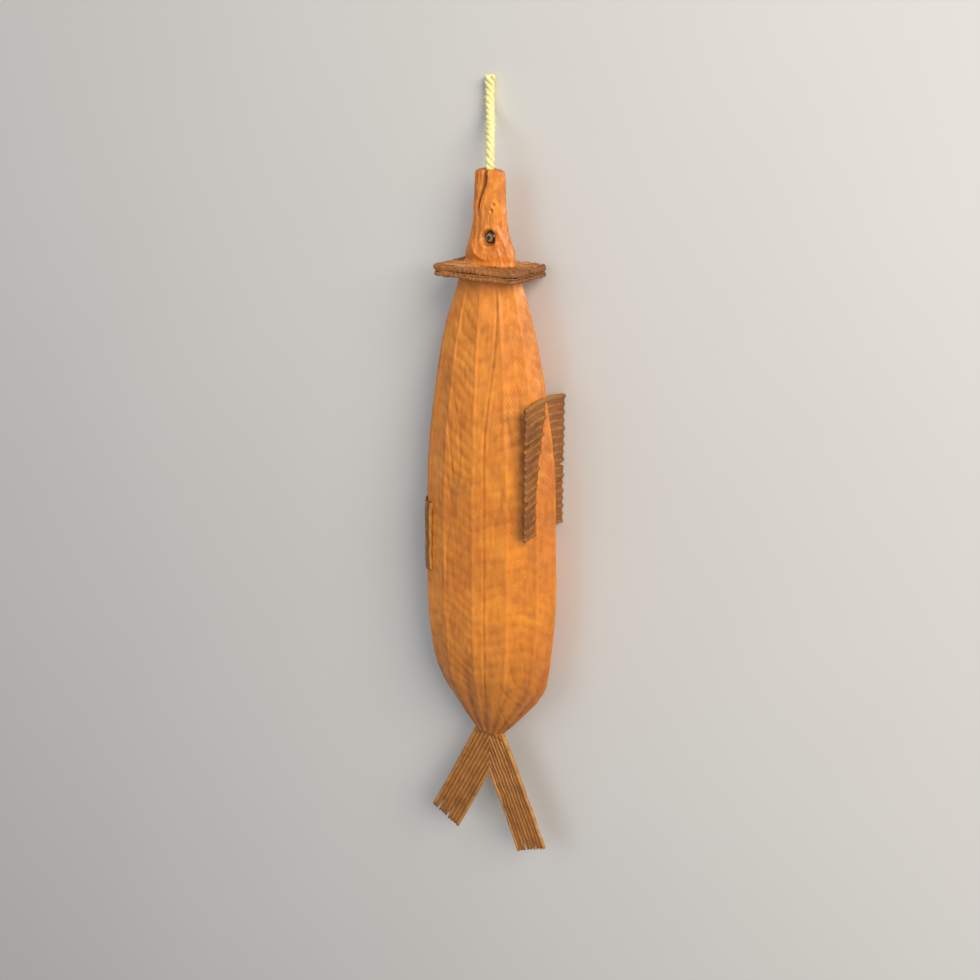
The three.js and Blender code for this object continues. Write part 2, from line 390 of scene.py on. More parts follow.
def strand(number):
    """One strand: its yarns twist one way, and the strand itself winds the other way."""
    turn = TAU * (along_route / LAY_PITCH + number / STRANDS)
    out = np.cos(turn)[:, None] * sideways + np.sin(turn)[:, None] * upward
    centre = route + out * (LAY_RADIUS + END_SPREAD * bell(to_end, END_SPREAD_LENGTH))[:, None]
    tangent = np.gradient(centre, axis=0)
    across = np.cross(tangent / np.linalg.norm(tangent, axis=1)[:, None], out)
    yarn = YARNS * around[None, :] + TAU * (along_route / YARN_PITCH)[:, None]
    thick = 1 + 0.06 * waves(along_route[:, None], 9, number)
    closing = np.sqrt(np.clip(to_end / END_ROUNDING + 0.03, 0, 1))
    radius = STRAND_RADIUS * (1 + YARN_RELIEF * np.cos(yarn)) * (thick * closing)[:, None]
    ring = np.cos(around)[None, :, None] * out[:, None] + np.sin(around)[None, :, None] * across[:, None]
    points = centre[:, None] + ring * radius[..., None]
    run = along_route[:, None] + 50.0 * number + 0 * yarn
    return capped(np.concatenate([points, yarn[..., None], run[..., None]], -1))


twine_shape = merged([strand(k) for k in range(STRANDS)])
twine = mesh_piece("hanging_twine", twine_shape, straw_twine, TWINE_VALUES)
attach(twine, "root")
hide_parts("hanging_cord")

# %% [markdown]
# ## Loose fibres on the twine
#
# Natural twine is never clean: broken fibres stand out all along it, and more at a cut end. They
# repeat over a surface, so Geometry Nodes scatter them: points on the strands' faces, a bent hair on
# each, turned at random.

# %% How a tree is begun and run
INPUT_KINDS = {int: "NodeSocketInt", float: "NodeSocketFloat"}


def new_tree(name, inputs):
    """An empty tree: itself, what it is given, its output node, and each input's identifier."""
    tree = bpy.data.node_groups.new(name, "GeometryNodeTree")
    tree.interface.new_socket(name="Geometry", in_out="OUTPUT", socket_type="NodeSocketGeometry")
    identifiers = {}
    for key, usual in inputs.items():
        kind = INPUT_KINDS.get(type(usual), usual)
        item = tree.interface.new_socket(name=key, in_out="INPUT", socket_type=kind)
        if kind != usual:
            item.default_value = usual
        identifiers[key] = item.identifier
    given = tree.nodes.new("NodeGroupInput")
    return tree, given.outputs, tree.nodes.new("NodeGroupOutput"), identifiers


def end_tree(tree, geometry, given, result):
    """Turns a tree's copies into plain geometry with its material, which is what the tree gives."""
    real = add(tree, "GeometryNodeRealizeInstances", {"Geometry": geometry})
    made = {"Geometry": real, "Material": given["Material"]}
    feed(tree, result, {"Geometry": add(tree, "GeometryNodeSetMaterial", made)})
    print(f"{tree.name}: {len(tree.nodes)} nodes")


def grown(base, tree, identifiers, settings):
    """Runs a tree on a mesh object, and returns the result as a plain mesh."""
    modifier = base.modifiers.new(tree.name, "NODES")
    modifier.node_group = tree
    for key, value in settings.items():
        modifier[identifiers[key]] = value
    evaluated = base.evaluated_get(bpy.context.evaluated_depsgraph_get())
    mesh = bpy.data.meshes.new_from_object(evaluated)
    base.modifiers.remove(modifier)
    return mesh


# %% A tree that scatters hairs over a surface
HAIR_INPUTS = {  # a number is the input's usual value, and a name is its kind
    "Geometry": "NodeSocketGeometry",
    "Density": 1.0,
    "Hair Length": 0.003,
    "Hair Radius": 0.0001,
    "Seed": 1,
    "Material": "NodeSocketMaterial",
}
HAIR_LEAN = 0.9  # how far a hair may tip over, in radians
hair_tree, given, result, hair_inputs = new_tree("loose_fibres", HAIR_INPUTS)
scattered = add(hair_tree, "GeometryNodeDistributePointsOnFaces", {
    "Mesh": given["Geometry"], "Density": given["Density"], "Seed": given["Seed"],
})
turns = add(hair_tree, "FunctionNodeRandomValue", {"Seed": given["Seed"]}, data_type="FLOAT_VECTOR")
turns.inputs[0].default_value = (-HAIR_LEAN, -HAIR_LEAN, 0)
turns.inputs[1].default_value = (HAIR_LEAN, HAIR_LEAN, TAU)
turned = add(hair_tree, "FunctionNodeRotateRotation", {
    "Rotation": scattered.outputs["Rotation"], "Rotate By": turns,
}, rotation_space="LOCAL")
hair_end = add(hair_tree, "CombineXYZ", {"X": given["Hair Length"], "Z": given["Hair Length"]})
hair_middle = add(hair_tree, "CombineXYZ", {"Z": given["Hair Length"]})
hair_line = add(hair_tree, "GeometryNodeCurveQuadraticBezier", {
    "Resolution": 5, "Start": (0, 0, 0), "Middle": hair_middle, "End": hair_end,
})
hair_section = add(hair_tree, "GeometryNodeCurvePrimitiveCircle", {"Resolution": 4})
hair = add(hair_tree, "GeometryNodeCurveToMesh", {
    "Curve": hair_line, "Profile Curve": hair_section.outputs[0], "Scale": given["Hair Radius"],
    "Fill Caps": True,
})
sizes = add(hair_tree, "FunctionNodeRandomValue", {"Min": 0.4, "Max": 1.2, "Seed": given["Seed"]})
planted = add(hair_tree, "GeometryNodeInstanceOnPoints", {
    "Points": scattered.outputs["Points"], "Instance": hair, "Rotation": turned, "Scale": sizes,
})
end_tree(hair_tree, planted, given, result)

# %% The fibres themselves
FIBRE_FLOOR_GAP = 0.0001
FIBRES_START_Y = 0.2762  # just outside the lips
fibre_mesh = grown(twine, hair_tree, hair_inputs, {
    "Density": 120000.0,
    "Hair Length": 0.0016,
    "Hair Radius": 0.00011,
    "Seed": 4,
    "Material": straw_twine,
})
for vertex in fibre_mesh.vertices:
    vertex.co.z = max(vertex.co.z, FIBRE_FLOOR_GAP)
    vertex.co.y = max(vertex.co.y, FIBRES_START_Y)
fibre_mesh.shade_smooth()
twine_fibres = bpy.data.objects.new("twine_fibres", fibre_mesh)
scene.collection.objects.link(twine_fibres)
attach(twine_fibres, "root")
print(f"loose fibres: {len(fibre_mesh.polygons)} faces")

# %% [markdown]
# ## The shape of the flesh
#
# The flesh is one closed form. Its outline along the fish is measured from the solid's own rings, so
# the two can't drift apart. Around it, the flesh has shrunk onto long flat panels with soft ridges
# between them, which is why a dried fish catches the light in bands. A grid of points, rows along and
# columns around, is easy to shape with numbers: every wrinkle is a small push along the surface.

# %% Outline, measured from the solid
PANELS = 12
PANEL_FLATNESS = 1.0
LOWER_FLANK = 1.16  # the flank it lies on is this much fuller
RIDGE_SHARE = 0.016  # how far the solid's ridges stand past its panels
RING_POINTS = 40  # fewer points than this at one level are not a whole ring

solid_points = np.array([v.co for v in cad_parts["body"].data.vertices]) / MM
levels, members = np.unique(np.round(solid_points[:, 1], 1), return_inverse=True)
members = members.ravel()
whole_rings = [k for k in range(len(levels)) if (members == k).sum() >= RING_POINTS]
rings = [solid_points[members == k] for k in whole_rings]
ring_y = levels[whole_rings]
ring_depth = np.array([ring[:, 0].max() for ring in rings]) / (1 + RIDGE_SHARE)
ring_thick = np.array([ring[:, 2].max() - AXIS_Z for ring in rings]) / (1 + RIDGE_SHARE)
TAIL_END, LIPS = float(ring_y[0]), float(ring_y[-1])
print(f"{len(ring_y)} rings from {TAIL_END:.1f} to {LIPS:.1f} mm, deepest {2 * ring_depth.max():.0f} mm")


def outline(values, y, blur=3.0):
    """A measured value anywhere along the fish, with the corners between rings blurred away."""
    offsets = np.linspace(-2, 2, 9) * blur
    weights = np.exp(-0.5 * (offsets / blur) ** 2)
    seen = np.clip(np.asarray(y)[..., None] + offsets, TAIL_END, LIPS)
    return (np.interp(seen, ring_y, values) * weights).sum(-1) / weights.sum()


def flesh_point(y, angle, proud=0.0):
    """A point of the plain flesh: angle 0 is the back's edge, a quarter turn the shown flank."""
    y, angle = np.broadcast_arrays(np.asarray(y, float), np.asarray(angle, float))
    half_panel = math.pi / PANELS
    panel = math.cos(half_panel) / np.cos(angle % (2 * half_panel) - half_panel)
    reach = 1 + PANEL_FLATNESS * (panel - 1)
    lower = np.where(np.sin(angle) < 0, LOWER_FLANK, 1.0)
    x = (outline(ring_depth, y) * reach + proud) * np.cos(angle)
    z = (outline(ring_thick, y) * reach * lower + proud) * np.sin(angle) + AXIS_Z
    return np.stack([x, y, z], -1)


# %% Rows and columns
COLUMNS = 288
FLANK_CROWDING = 0.13  # columns crowd together over the flanks, where there is more to shape
ROUNDING = 3.4  # of the lips
TRUNK_ROWS_Y = -120
HEAD_ROWS_Y = 196


def stretches(*parts):
    """Row places, closer together where there is more to shape."""
    return np.concatenate([np.linspace(a, b, n, endpoint=False) for a, b, n in parts])


turn = TAU * np.arange(COLUMNS) / COLUMNS
angle = turn + FLANK_CROWDING * np.sin(2 * turn)
row_y = stretches(
    (TAIL_END + 2, TRUNK_ROWS_Y, 40), (TRUNK_ROWS_Y, HEAD_ROWS_Y, 186), (HEAD_ROWS_Y, LIPS - ROUNDING, 96)
)
y, t = np.broadcast_arrays(row_y[:, None], angle[None, :])
flesh = flesh_point(y, t)
x = flesh[..., 0]
depth, thick = outline(ring_depth, row_y)[:, None], outline(ring_thick, row_y)[:, None]
flank = np.abs(np.sin(t))
print(f"{len(row_y)} rows of {COLUMNS} points")


def off_angle(middle):
    """How far round the fish each point is from an angle, in radians."""
    return np.abs(np.angle(np.exp(1j * (t - middle))))


def creases(bumps, sharpness):
    """1 on the lines where bumps pass through nought, and 0 between them."""
    return np.clip(1 - np.abs(bumps) * sharpness, 0, 1) ** 2


# %% Trunk: muscle segments and lengthwise creases
# Muscle shows as W-shaped segments a finger's width apart. Drying pulls the skin into lengthwise
# creases. Heights and widths are in millimetres, and waves get their wavelength and their seed.
SEGMENT_PITCH = 9.6
SEGMENT_ZIGZAG = 17.0
SEGMENT_SWELL = 0.10
SEGMENT_GROOVE = 0.32
PANEL_RIDGE = 0.30
CREASE_DEPTH = 0.52
trunk = ease(-160, -115, y) * (1 - ease(184, 200, y))
zigzag = SEGMENT_ZIGZAG * np.abs((np.degrees(t) / 45) % 2 - 1) ** 1.3
segment = (y + zigzag + 2.2 * waves(flesh, 50, 11)) / SEGMENT_PITCH
off_groove = (segment % 1 - 0.5) * SEGMENT_PITCH
drawn_in = 0.55 + 0.45 * ease(-0.8, 0.8, waves(flesh, 38, 19))
muscle = SEGMENT_SWELL * np.cos(TAU * segment) - SEGMENT_GROOVE * bell(off_groove, 1.2)
muscle = muscle * trunk * flank ** 0.3 * drawn_in
panel_width = depth * TAU / PANELS
off_panel = depth * (t % (TAU / PANELS) - TAU / PANELS / 2)
fine = muscle + PANEL_RIDGE * bell(np.abs(off_panel) - panel_width / 2, 1.6) * trunk

drying = creases(waves(flesh * [1, 0.22, 1], 17, 12), 2.2)
pulled = ease(0.0, 1.2, waves(flesh * [1, 0.3, 1], 40, 18)) * (y < HEAD_ROWS_Y)
fine = fine - CREASE_DEPTH * drying * pulled
fine = fine + 0.09 * waves(flesh * [1, 0.3, 1], 5, 13)
fine = fine + 0.07 * waves(flesh * [0.5, 1, 0.5], 7, 14)
print(f"{np.ptp(segment):.0f} muscle segments, creases up to {CREASE_DEPTH} mm deep")

# %% Trunk: side line, back keel and belly cut
# The side line is a fine groove with a raised edge, along each flank. The fish was gutted before it
# was hung, and the belly's cut has curled its edges out.
SIDE_LINE_DEPTH, SIDE_LINE_EDGE = 0.40, 0.25
KEEL_HEIGHT = 0.9
CUT_DEPTH, CUT_CURL = 3.4, 1.3
side_line = np.radians(80 - 16 * ease(70, 190, y))
for side in (1, -1):
    off_line = depth * off_angle(side * side_line)
    line = SIDE_LINE_EDGE * bell(off_line - 2.2, 1.1) - SIDE_LINE_DEPTH * bell(off_line, 0.9)
    fine = fine + trunk * line

keel = trunk * KEEL_HEIGHT * bell(thick * off_angle(0), 1.8)
off_cut = thick * off_angle(math.pi)
cut_run = ease(-104, -84, y) * (1 - ease(168, 182, y))
belly_cut = cut_run * (CUT_CURL * bell(off_cut - 3.6, 1.8) - CUT_DEPTH * bell(off_cut, 1.7))
broad = 0.55 * waves(flesh * [1, 0.5, 1], 45, 15) * (0.3 + 0.7 * trunk) + keel
print(f"belly cut {np.ptp(y[cut_run > 0.5]):.0f} mm long, keel {KEEL_HEIGHT} mm high")

# %% Tail stem: the flesh has pulled back to its tendons
TENDONS = 16
TENDON_HEIGHT = 0.5
stem = 1 - ease(-180, -50, y)
fine = fine + stem * TENDON_HEIGHT * np.cos(TENDONS * t + 0.05 * y)

# %% Head: eye sockets, nostrils and mouth
# A dried head is skin on bone. The eye sinks, the jaw's edge and the cheek bones stand out, and the
# mouth runs back from the lips as a long slit. All of it is placed by where it lies on the flank.
EYE_X, EYE_Y, EYE_RADIUS = 3.5, 228.0, 5.6
SOCKET_DEPTH, SOCKET_RIM = 2.8, 0.6
NOSTRILS = ((6.2, 251.0, 1.1), (4.9, 246.8, 1.3))  # x, y and size
MOUTH_CORNER_Y = 244.0
MOUTH_DEPTH, LIP_HEIGHT = 2.0, 0.75
LIP_WRINKLE_PITCH = 2.4
head = ease(204, 212, y)
from_eye = np.hypot(x - EYE_X, y - EYE_Y)
face = -SOCKET_DEPTH * bell((from_eye / EYE_RADIUS) ** 2, 1.0) + SOCKET_RIM * bell(from_eye - 7.0, 1.5)
for nostril_x, nostril_y, nostril_size in NOSTRILS:
    from_nostril = np.hypot(x - nostril_x, y - nostril_y)
    face = face - 1.3 * bell(from_nostril, nostril_size) + 0.35 * bell(from_nostril - 2.1, 0.7)
mouth_share = np.clip((LIPS - y) / (LIPS - MOUTH_CORNER_Y), 0, 1)
off_mouth = x + 1.2 + 6.4 * mouth_share ** 1.7 - 0.9 * np.sin(TAU * mouth_share)
mouth_run = ease(MOUTH_CORNER_Y - 1, MOUTH_CORNER_Y + 6, y)
gape = 0.75 + 0.75 * (1 - mouth_share)
off_lip = np.abs(off_mouth) - gape
slit = MOUTH_DEPTH * bell(off_mouth / gape, 1.0) - LIP_HEIGHT * bell(off_lip - 1.5, 1.0)
lip_wrinkles = 0.12 * np.cos(TAU * y / LIP_WRINKLE_PITCH) * bell(off_lip - 1.3, 1.2)
face = face + mouth_run * (lip_wrinkles - slit)
print(f"mouth {LIPS - MOUTH_CORNER_Y:.0f} mm long, eyes {LIPS - EYE_Y:.0f} mm behind the lips")

# %% Head: bones under the skin, and the skin drawn over them
SKULL_RIDGES = ((8.5, 0.34), (13.0, 0.5))  # x beside the eye, and how fast each spreads backwards
off_brow = ease(4, 9, x)
bones = [  # height, distance from its line, width, and where it shows
    (0.8, from_eye - 7.8, 1.8, off_brow),  # brow
    (0.7, off_mouth - 4.6, 1.3, ease(232, 246, y)),  # upper jaw
    (0.6, off_mouth + 5.4, 1.4, ease(222, 240, y)),  # lower jaw
    (1.2, np.hypot((x + 6.5) / 1.1, y - 218.5), 6.5, 1),  # cheek
    (0.8, from_eye - 15.5, 1.2, ease(0, 7, EYE_Y - y) * (1 - off_brow)),  # edge of the gill cover
]
for start, spread in SKULL_RIDGES:
    bones.append((0.8, x - start - spread * (EYE_Y - y), 1.1, 1 - ease(228, 240, y)))
for height, distance, width, shown in bones:
    face = face + height * bell(distance, width) * shown
from_eye_spokes = np.cos(30 * np.arctan2(y - EYE_Y, x - EYE_X))
face = face + 0.07 * from_eye_spokes * bell(from_eye - 14, 6)
fine_wrinkle = creases(waves(flesh * [1, 0.26, 1], 6, 23), 2.4)
taut_skin = 0.11 * waves(flesh, 5, 16) + 0.14 * waves(flesh * [1, 0.3, 1], 9, 22) - 0.22 * fine_wrinkle
face = face * head * flank ** 0.7 + head * taut_skin
gill_hollow = -1.2 * bell(y - 211, 3.0)

# %% The skin's rows, closed at the lips and at the tail
# The lips roll in to the cord's hole. At the tail the flesh flattens and runs out along the lobes.
CORD_HOLE = 3.9
LIP_ROLL = 0.22
JAW_NOTCH = 1.8  # how deep the mouth parts the lips
HOLE_RINGS = ((0.3, 0.2), (0.6, 0.5), (0.85, 0.9), (1.0, 1.9), (1.0, 3.4), (0.98, 5.2))  # share, sink
TAIL_RINGS = ((0.10, 8.6), (0.42, 8.0), (0.62, 6.2), (0.80, 3.6), (0.93, 1.2))  # flatness, run out
shaped = pull(flesh, broad + belly_cut + fine + face + gill_hollow)

edge = shaped[-1]
hole = np.stack([CORD_HOLE * np.cos(t[-1]), 0 * t[-1], CORD_HOLE * np.sin(t[-1]) + AXIS_Z], -1)
jaw_notch = JAW_NOTCH * bell(edge[:, 0] + 1.2, 1.9)
lips = []
for lip_turn in np.linspace(0, math.pi / 2, 6)[1:]:
    kept = 1 - LIP_ROLL * (1 - math.cos(lip_turn))
    forward = edge[:, 1] + (ROUNDING - jaw_notch) * math.sin(lip_turn)
    lips.append(np.stack([edge[:, 0] * kept, forward, AXIS_Z + (edge[:, 2] - AXIS_Z) * kept], -1))
rolled = lips[-1]
for share, sink in HOLE_RINGS:
    ring = rolled * (1 - share) + hole * share
    ring[:, 1] = LIPS - sink - jaw_notch * (1 - share) + 0.25 * waves(ring, 4, 17)
    lips.append(ring)
tail_cap = []
to_edges = np.cos(t[0]) ** 2
ragged = 0.05 * waves(shaped[0], 5, 20)
for flatness, run_out in TAIL_RINGS:
    ring = shaped[0] * [1 + 0.018 * run_out, 0, flatness]
    ring[:, 1] = TAIL_END + 1.4 - run_out * (0.12 + 0.88 * to_edges) + run_out * ragged
    ring[:, 2] += AXIS_Z * (1 - flatness)
    tail_cap.append(ring)
skin = np.concatenate([tail_cap, shaped, lips])
print(f"{len(tail_cap)} rows close the tail and {len(lips)} close the lips")

# %% What the finish reads on every point of the skin
# The first value is painted shade: each crease, socket and cut is darkened by its depth, and the rows inside
# the lips fully.
SKIN_VALUES = ("crease_shade", "back", "head", "stem", "girth")
HALF_GIRTH = 141.0  # from the back to the belly over the fullest part
CREASE_SHADE_DEPTH = 0.95  # a crease this deep is as dark as it gets
HOLE_ROWS = 4  # the last rows are inside the lips, and as dark
crease_shade = np.clip(-(fine - 0.5 * muscle + face + belly_cut) / CREASE_SHADE_DEPTH, 0, 1)
edge_lengths = np.linalg.norm(np.roll(flesh, -1, 1) - flesh, axis=-1)
share_round = 2 * (np.cumsum(edge_lengths, 1) - edge_lengths) / edge_lengths.sum(1, keepdims=True)
girth = (1 - np.abs(1 - share_round)) * HALF_GIRTH
channels = np.stack([crease_shade, np.cos(t) + 0 * y, head + 0 * crease_shade, stem + 0 * crease_shade, girth], -1)
pad_tail = np.repeat(channels[:1], len(tail_cap), 0)
pad_lips = np.repeat(channels[-1:], len(lips), 0)
pad_lips[-HOLE_ROWS:, :, 0] = 1.0
skin_rows = np.concatenate([skin, np.concatenate([pad_tail, channels, pad_lips])], -1)
print(f"{len(SKIN_VALUES)} values on each of {skin_rows[..., 0].size} points: {SKIN_VALUES}")

# %% [markdown]
# ## The finish of the flesh
#
# Skin and muscle dry to a hard, slightly waxy amber. It has long streaks of paler gold and is browner
# along the back and at the tail, where part of the brown is painted shade. Every crease, socket and
# cut, and the inside of the lips, are painted darker brown as shade.
# The scales have gone but their pockets are still there, as a fine net over the whole trunk.

# %% Dried fish skin: what its finish reads
# Collagen and fish oil: IOR about 1.5, a soft waxy gloss, and a little light passing under the skin.
dried_skin, tree, shader, place, crease_shade_at, back_at, head_at, stem_at, girth_at = new_material(
    "air_dried_fish_skin", SKIN_VALUES, roughness=0.45, coat_weight=0.15, coat_roughness=0.3,
    subsurface_weight=0.18, subsurface_scale=0.004, subsurface_radius=(1.0, 0.45, 0.15),
)
drawn_out = add(tree, "Mapping", {"Vector": place, "Scale": (1, 0.25, 1)})
clouds, blotches, streaks, wobble, grain = (
    add(tree, "TexNoise", {"Vector": over, "Scale": scale, "Detail": detail, "Roughness": rough})
    for over, scale, detail, rough in (
        (place, 26.0, 4.0, 0.5), (place, 95.0, 4.0, 0.6), (drawn_out, 240.0, 4.0, 0.5),
        (place, 130.0, 2.0, 0.5), (place, 900.0, 2.0, 0.5),
    )
)

# %% Dried fish skin: scale pockets
# Pockets lie in crossing diagonal rows: each point's distance to the nearest row, either way, is the
# net. They are about 2 mm wide on the fish and drawn at 3 mm, so that they show.
POCKET_WIDTH = 3.0
POCKET_LENGTH = 4.2
along_at = add(tree, "SeparateXYZ", {"Vector": place}).outputs["Y"]
wobbled = {0: girth_at, 1: 1 / POCKET_WIDTH, 2: wobble}
round_count = add(tree, "Math", wobbled, operation="MULTIPLY_ADD")
rows_apart = []
for slant in (1, -1):
    slanted = {0: along_at, 1: slant / MM / POCKET_LENGTH, 2: round_count}
    row_count = add(tree, "Math", slanted, operation="MULTIPLY_ADD")
    rows_apart.append(add(tree, "Math", {0: row_count, 1: 0.5}, operation="PINGPONG"))
nearest_row = add(tree, "Math", dict(enumerate(rows_apart)), operation="MINIMUM")
edged = {"Value": nearest_row, "From Max": 0.2, "To Min": 1.0, "To Max": 0.0}
pocket_rim = add(tree, "MapRange", edged, interpolation_type="SMOOTHSTEP")
worn = {"Value": clouds, "From Min": 0.40, "From Max": 0.58, "To Min": 1.0, "To Max": 0.15}
unworn = add(tree, "MapRange", worn)
off_head = add(tree, "Math", {0: 1.0, 1: head_at}, operation="SUBTRACT")
for shown in (unworn, off_head):
    pocket_rim = add(tree, "Math", {0: pocket_rim, 1: shown}, operation="MULTIPLY")
print(f"scale pockets {POCKET_WIDTH} by {POCKET_LENGTH} mm")

# %% Dried fish skin: colours, relief and gloss
cloud_share, streak_share, brown_back, brown_patch = (
    add(tree, "MapRange", {"Value": value, "From Min": low, "From Max": high})
    for value, low, high in (
        (clouds, 0.36, 0.64), (streaks, 0.34, 0.66), (back_at, 0.72, 1.0), (blotches, 0.42, 0.66)
    )
)
spots = add(tree, "Math", {0: brown_patch, 1: 0.26}, operation="MULTIPLY")
back_spots = add(tree, "Math", {0: brown_back, 1: 0.35, 2: spots}, operation="MULTIPLY_ADD")
head_stain = add(tree, "Math", {0: brown_patch, 1: 0.36, 2: 0.10}, operation="MULTIPLY_ADD")
stains_and_shade = (
    (cloud_share, 1.0, "#F09126"),  # lighter amber in clouds
    (streak_share, 0.40, "#F8A73F"),  # gold in long streaks
    (back_spots, 1.0, "#9A5320"),  # the darker back, and spots of fat
    (head_at, head_stain, "#B55F20"),
    # Darker brown at the tail's stem: partly the stem's own tone, partly painted shade.
    (stem_at, 0.62, "#94551C"),
    # Painted shade in every crease, socket and cut, and inside the lips.
    (crease_shade_at, 0.75, "#7C3F14"),
    (pocket_rim, 0.22, "#A45E20"),
)
bumps = ((pocket_rim, 0.0004, 0.42, True), (streaks, 0.0008, 0.6, False), (grain, 0.0003, 0.5, False))
oily = {"Value": blotches, "From Min": 0.35, "From Max": 0.65, "To Min": 0.38, "To Max": 0.60}
dress(tree, shader, "#DC7B19", stains_and_shade, bumps, oily)
print(f"{dried_skin.name}: {len(tree.nodes)} nodes, {len(stains_and_shade)} stains over the amber")

# %% [markdown]
# ## The body
#
# Everything that was shaped above comes together as one closed mesh. Its rows run from the tail to the
# hole that the cord comes out of, and a cap of triangles closes each end.

# %% The body
body = mesh_piece("dried_body", capped(skin_rows), dried_skin, SKIN_VALUES)
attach(body, "root")
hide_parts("body")

# %% [markdown]
# ## The eyes
#
# A dried eye is a small dark bead, wrinkled and sunk in its socket. Each is a squashed sphere grid
# with a few wrinkles, set a little below the skin, one on each flank.

# %% Dried eye
# Cornea and lens shrunk to horn: a black pupil in a cloudy amber ring, and glossier than the skin.
PUPIL_RADIUS = 1.5
IRIS_RADIUS = 2.9
EDGE_BLUR = 0.7
EYE_VALUES = ("off_pupil",)  # how far each point is from the pupil's middle
dried_eye, tree, shader, place, off_pupil = new_material(
    "shrunken_fish_eye", EYE_VALUES, roughness=0.3, ior=1.45, coat_weight=0.4
)
cloudy = add(tree, "TexNoise", {"Vector": place, "Scale": 500.0, "Detail": 3.0})
blurred = add(tree, "Math", {0: cloudy, 1: 0.8, 2: off_pupil}, operation="MULTIPLY_ADD")
in_pupil, past_iris = (
    add(tree, "MapRange", {"Value": blurred, "From Min": inner, "From Max": outer, **share})
    for inner, outer, share in (
        (PUPIL_RADIUS + 0.2, PUPIL_RADIUS + EDGE_BLUR, {"To Min": 1.0, "To Max": 0.0}),
        (IRIS_RADIUS, IRIS_RADIUS + EDGE_BLUR, {}),
    )
)
horn = [(cloudy, 1.0, "#B98A48"), (in_pupil, 1.0, "#0E0906"), (past_iris, 1.0, "#2A180C")]
dress(tree, shader, "#6A4218", horn, [(cloudy, 0.0004, 0.6, False)])
print(f"{dried_eye.name}: pupil {2 * PUPIL_RADIUS} mm, iris {2 * IRIS_RADIUS} mm")

# %% The eyes
EYE_RADII = (4.5, 4.7, 2.2)
EYE_SUNK = 2.4
EYE_ROWS, EYE_COLUMNS = 18, 36
POLE_GAP = 0.05  # the caps close the last of each pole
eye_shapes = []
for side in (1, -1):
    socket_angle = side * math.acos(EYE_X / float(outline(ring_depth, EYE_Y)))
    centre = flesh_point(EYE_Y, socket_angle) - [0, 0, side * EYE_SUNK]
    rise = np.linspace(-math.pi / 2 + POLE_GAP, math.pi / 2 - POLE_GAP, EYE_ROWS)[:, None]
    spin = (TAU * np.arange(EYE_COLUMNS) / EYE_COLUMNS)[None, :]
    ball = np.stack([np.cos(rise) * np.cos(spin), np.cos(rise) * np.sin(spin), np.sin(rise) + 0 * spin], -1)
    ball = ball * (1 + 0.05 * waves(ball, 0.8, 21 + side))[..., None] * EYE_RADII
    off_pupil = np.hypot(ball[..., 0], ball[..., 1])
    eye_shapes.append(capped(np.concatenate([ball + centre, off_pupil[..., None]], -1)))
eyes = mesh_piece("dried_eyes", merged(eye_shapes), dried_eye, EYE_VALUES)
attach(eyes, "root")

# %% [markdown]
# ## A fan of rays
#
# Every fin is a web of skin stretched over thin bones, its rays. Rays repeat side by side and only
# their number, length, width and thickness change from fin to fin, so one Geometry Nodes tree grows
# them all, laid out flat: a tapered tube, copied along a line, with a little random raggedness at the
# tips. Each fin then lays its rays on its own curved web.

# %% The tree of rays
RAY_INPUTS = {
    "Rays": 12,
    "Steps": 24,
    "Width": 0.05,
    "Length": 0.1,
    "Shortest": 0.95,
    "Root Radius": 0.001,
    "Tip Radius": 0.0004,
    "Seed": 1,
    "Material": "NodeSocketMaterial",
}
ray_tree, given, result, ray_inputs = new_tree("fan_of_rays", RAY_INPUTS)
gaps = add(ray_tree, "Math", {0: given["Rays"], 1: 1.0}, operation="SUBTRACT")
pitch = add(ray_tree, "Math", {0: given["Width"], 1: gaps}, operation="DIVIDE")
half_width = add(ray_tree, "Math", {0: given["Width"], 1: -0.5}, operation="MULTIPLY")
first_ray = add(ray_tree, "CombineXYZ", {"X": half_width})
next_ray = add(ray_tree, "CombineXYZ", {"X": pitch})
row = {"Count": given["Rays"], "Start Location": first_ray, "Offset": next_ray}
roots = add(ray_tree, "GeometryNodeMeshLine", row)
ray_tip = add(ray_tree, "CombineXYZ", {"Y": given["Length"]})
ray_line = add(ray_tree, "GeometryNodeCurvePrimitiveLine", {"Start": (0, 0, 0), "End": ray_tip})
ray_steps = add(ray_tree, "GeometryNodeResampleCurve", {"Curve": ray_line, "Count": given["Steps"]})
place_on_ray = add(ray_tree, "GeometryNodeSplineParameter")
taper = {"Value": place_on_ray, "To Min": given["Root Radius"], "To Max": given["Tip Radius"]}
ray_radius = add(ray_tree, "MapRange", taper)
ray_section = add(ray_tree, "GeometryNodeCurvePrimitiveCircle", {"Resolution": 8})
tube = {"Curve": ray_steps, "Profile Curve": ray_section.outputs[0], "Scale": ray_radius, "Fill Caps": True}
ray_mesh = add(ray_tree, "GeometryNodeCurveToMesh", tube)
ray = add(ray_tree, "GeometryNodeSetShadeSmooth", {"Geometry": ray_mesh})
shortness = {"Min": given["Shortest"], "Max": 1.0, "Seed": given["Seed"]}
ray_share = add(ray_tree, "FunctionNodeRandomValue", shortness)
ray_size = add(ray_tree, "CombineXYZ", {"X": 1.0, "Y": ray_share, "Z": 1.0})
copies = {"Points": roots, "Instance": ray, "Scale": ray_size}
copied = add(ray_tree, "GeometryNodeInstanceOnPoints", copies)
end_tree(ray_tree, copied, given, result)

